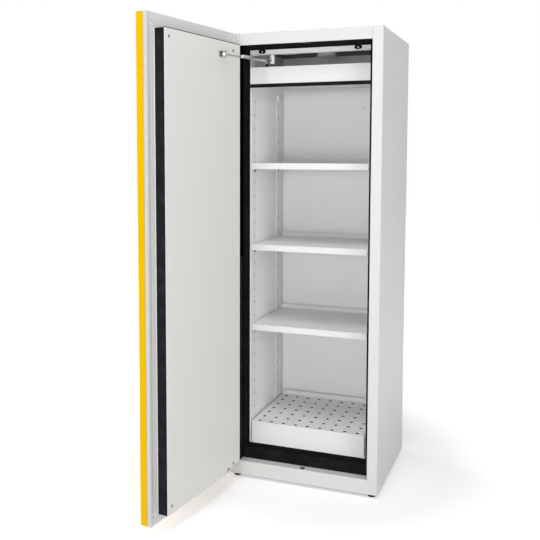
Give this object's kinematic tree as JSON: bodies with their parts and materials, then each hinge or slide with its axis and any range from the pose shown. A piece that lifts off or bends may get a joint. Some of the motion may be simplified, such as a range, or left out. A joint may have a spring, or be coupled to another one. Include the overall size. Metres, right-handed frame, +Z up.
{
  "type": "flammable safety cabinet",
  "caption": "Tall fire-insulated steel cabinet with a single hinged door, tray shelves, a sump tray with perforated cover, roof vent spigots and levelling feet.",
  "frame": {"origin": "on the floor under the middle of the carcass, between the four feet", "axes": "+Z up, +X to the right when facing the front, +Y from the front to the rear"},
  "size_m": [0.8032, 1.263, 1.988],
  "materials": {
    "carcass_grey": "satin powder coat, light grey",
    "interior_white": "satin powder coat, pale grey",
    "lining_board": "pale coated board",
    "mineral_board": "rough mineral insulation",
    "seal_black": "matt black heat-expanding seal",
    "door_yellow": "satin powder coat, safety yellow",
    "zinc": "bright zinc plated steel",
    "white_plastic": "moulded white plastic",
    "black_plastic": "moulded black plastic",
    "rubber": "matt black rubber",
    "galvanised": "galvanised sheet",
    "brass": "turned"
  },
  "bodies": {
    "cabinet": {"side_panel_left": "carcass_grey", "side_panel_right": "carcass_grey", "plinth": "carcass_grey", "roof_header": "carcass_grey", "back_panel": "carcass_grey", "insulation_left": "mineral_board", "insulation_right": "mineral_board", "insulation_rear": "mineral_board", "insulation_top": "mineral_board", "insulation_bottom": "mineral_board", "lining_left": "lining_board", "lining_right": "lining_board", "lining_rear": "lining_board", "lining_floor": "lining_board", "lining_ceiling": "lining_board", "seal_left": "seal_black", "seal_right": "seal_black", "seal_bottom": "seal_black", "seal_top": "seal_black", "upright_front_left": "interior_white", "upright_front_right": "interior_white", "upright_rear_left": "interior_white", "upright_rear_right": "interior_white", "shelf_lower": "interior_white", "shelf_middle": "interior_white", "shelf_upper": "interior_white", "shelf_clips": "zinc", "plenum_fascia": "interior_white", "plenum_trim": "seal_black", "guide_rail": "interior_white", "rail_caps": "black_plastic", "exhaust_spigot": "galvanised", "supply_spigot": "galvanised", "sill_bush": "black_plastic", "hinge_brackets": "zinc", "door_stop": "rubber"},
    "door": {"door_outer_skin": "door_yellow", "door_inner_pan": "carcass_grey", "door_core": "mineral_board", "door_edge_frame": "seal_black", "door_block_core": "mineral_board", "door_inner_panel": "carcass_grey", "panel_screws": "zinc", "hinge_knuckles": "zinc", "handle_plate": "black_plastic", "arm_bracket": "zinc"},
    "arm": {"guide_arm": "zinc"},
    "slider": {"guide_slider": "white_plastic"},
    "lever": {"door_lever": "black_plastic"},
    "cylinder": {"lock_cylinder": "brass"},
    "lower_bolt": {"bolt_lower": "zinc"},
    "upper_bolt": {"bolt_upper": "zinc"},
    "tray": {"sump_tray": "interior_white"},
    "tray_cover": {"sump_cover": "interior_white"},
    "exhaust_flap": {"exhaust_damper": "galvanised"},
    "supply_flap": {"supply_damper": "galvanised"},
    "foot_a": {"foot_front_left": "black_plastic"},
    "foot_b": {"foot_front_right": "black_plastic"},
    "foot_c": {"foot_rear_left": "black_plastic"},
    "foot_d": {"foot_rear_right": "black_plastic"}
  },
  "joints": [
    {"name": "door_hinge", "type": "hinge", "parent": "cabinet", "child": "door", "pos_m": [-0.317, -0.322, 1], "axis": [0, 0, 1], "range_deg": [0, 97.5]},
    {"name": "arm_pivot", "type": "hinge", "parent": "door", "child": "arm", "pos_m": [-0.26843, -0.52003, 1.842], "axis": [0, 0, 1], "range_deg": [-168, 2]},
    {"name": "slider_pivot", "type": "hinge", "parent": "arm", "child": "slider", "pos_m": [-0.17094, -0.21, 1.842], "axis": [0, 0, 1], "range_deg": [-2, 70]},
    {"name": "lever_turn", "type": "hinge", "parent": "door", "child": "lever", "pos_m": [-0.44979, -0.90163, 1.01], "axis": [-0.9914, 0.1305, 0], "range_deg": [0, 45]},
    {"name": "cylinder_turn", "type": "hinge", "parent": "door", "child": "cylinder", "pos_m": [-0.42501, -0.90489, 0.948], "axis": [-0.9914, 0.1305, 0], "range_deg": [0, 90]},
    {"name": "lower_bolt_slide", "type": "slide", "parent": "door", "child": "lower_bolt", "axis": [0, 0, -1], "range_m": [0, 0.022]},
    {"name": "upper_bolt_slide", "type": "slide", "parent": "door", "child": "upper_bolt", "axis": [0, 0, 1], "range_m": [0, 0.022]},
    {"name": "tray_slide", "type": "slide", "parent": "cabinet", "child": "tray", "axis": [0, 1, 0], "range_m": [-0.35, 0]},
    {"name": "cover_lift", "type": "slide", "parent": "tray", "child": "tray_cover", "axis": [0, 0, 1], "range_m": [0, 0.05]},
    {"name": "exhaust_damper_turn", "type": "hinge", "parent": "cabinet", "child": "exhaust_flap", "pos_m": [0.03, -0.05, 1.935], "axis": [1, 0, 0], "range_deg": [0, 88]},
    {"name": "supply_damper_turn", "type": "hinge", "parent": "cabinet", "child": "supply_flap", "pos_m": [-0.15, -0.05, 1.935], "axis": [1, 0, 0], "range_deg": [0, 88]},
    {"name": "foot_a_turn", "type": "hinge", "parent": "cabinet", "child": "foot_a", "pos_m": [-0.304, -0.277, 0.01], "axis": [0, 0, 1], "continuous": true},
    {"name": "foot_b_turn", "type": "hinge", "parent": "cabinet", "child": "foot_b", "pos_m": [0.304, -0.277, 0.01], "axis": [0, 0, 1], "continuous": true},
    {"name": "foot_c_turn", "type": "hinge", "parent": "cabinet", "child": "foot_c", "pos_m": [-0.304, 0.277, 0.01], "axis": [0, 0, 1], "continuous": true},
    {"name": "foot_d_turn", "type": "hinge", "parent": "cabinet", "child": "foot_d", "pos_m": [0.304, 0.277, 0.01], "axis": [0, 0, 1], "continuous": true}
  ],
  "couplings": [
    {"joint": "arm_pivot", "follows": "door_hinge", "ratio": -1.68},
    {"joint": "slider_pivot", "follows": "door_hinge", "ratio": 0.68},
    {"joint": "lower_bolt_slide", "follows": "lever_turn", "m_per_rad": 0.028011},
    {"joint": "upper_bolt_slide", "follows": "lever_turn", "m_per_rad": 0.028011}
  ]
}
